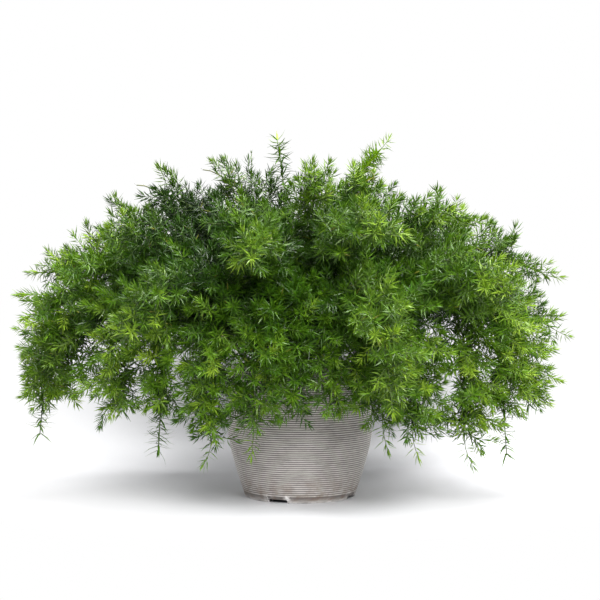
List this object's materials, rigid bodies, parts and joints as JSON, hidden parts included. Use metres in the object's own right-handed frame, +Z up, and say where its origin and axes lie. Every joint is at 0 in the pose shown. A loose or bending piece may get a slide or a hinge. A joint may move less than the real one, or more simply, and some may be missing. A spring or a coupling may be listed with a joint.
{
  "type": "potted asparagus fern",
  "caption": "Asparagus fern in a ridged resin planter: arching, needle-leaved stems in a mound that hides the rim.",
  "frame": {"origin": "on the ground, on the pot's axis, which is the middle of the plant's spread", "axes": "+Z up, +X to the right and -Y to the front, as the picture shows the plant"},
  "size_m": [0.8343, 0.6659, 0.5677],
  "materials": {
    "pot_resin": "satin",
    "potting_mix": "matte",
    "old_leaf": "satin",
    "full_leaf": "satin",
    "young_leaf": "satin"
  },
  "bodies": {
    "root": {"pot": "pot_resin", "soil": "potting_mix", "frond_01": "full_leaf", "frond_02": "old_leaf", "frond_03": "full_leaf", "frond_04": "full_leaf", "frond_05": "old_leaf", "frond_06": "full_leaf", "frond_07": "old_leaf", "frond_08": "full_leaf", "frond_09": "full_leaf", "frond_10": "old_leaf", "frond_11": "full_leaf", "frond_12": "full_leaf", "frond_13": "full_leaf", "frond_14": "full_leaf", "frond_15": "old_leaf", "frond_16": "full_leaf", "frond_17": "full_leaf", "frond_18": "old_leaf", "frond_19": "full_leaf", "frond_20": "full_leaf", "frond_21": "full_leaf", "frond_22": "full_leaf", "frond_23": "old_leaf", "frond_24": "full_leaf", "frond_25": "full_leaf", "frond_26": "old_leaf", "frond_27": "young_leaf", "frond_28": "young_leaf", "frond_29": "young_leaf", "frond_30": "young_leaf", "frond_31": "young_leaf", "frond_32": "young_leaf", "frond_33": "young_leaf", "frond_34": "young_leaf", "frond_35": "young_leaf", "frond_36": "young_leaf", "frond_37": "young_leaf", "frond_38": "young_leaf", "frond_39": "young_leaf", "frond_40": "young_leaf", "frond_41": "young_leaf", "frond_42": "young_leaf", "frond_43": "young_leaf", "frond_44": "young_leaf", "frond_45": "young_leaf", "frond_46": "young_leaf"}
  },
  "joints": []
}
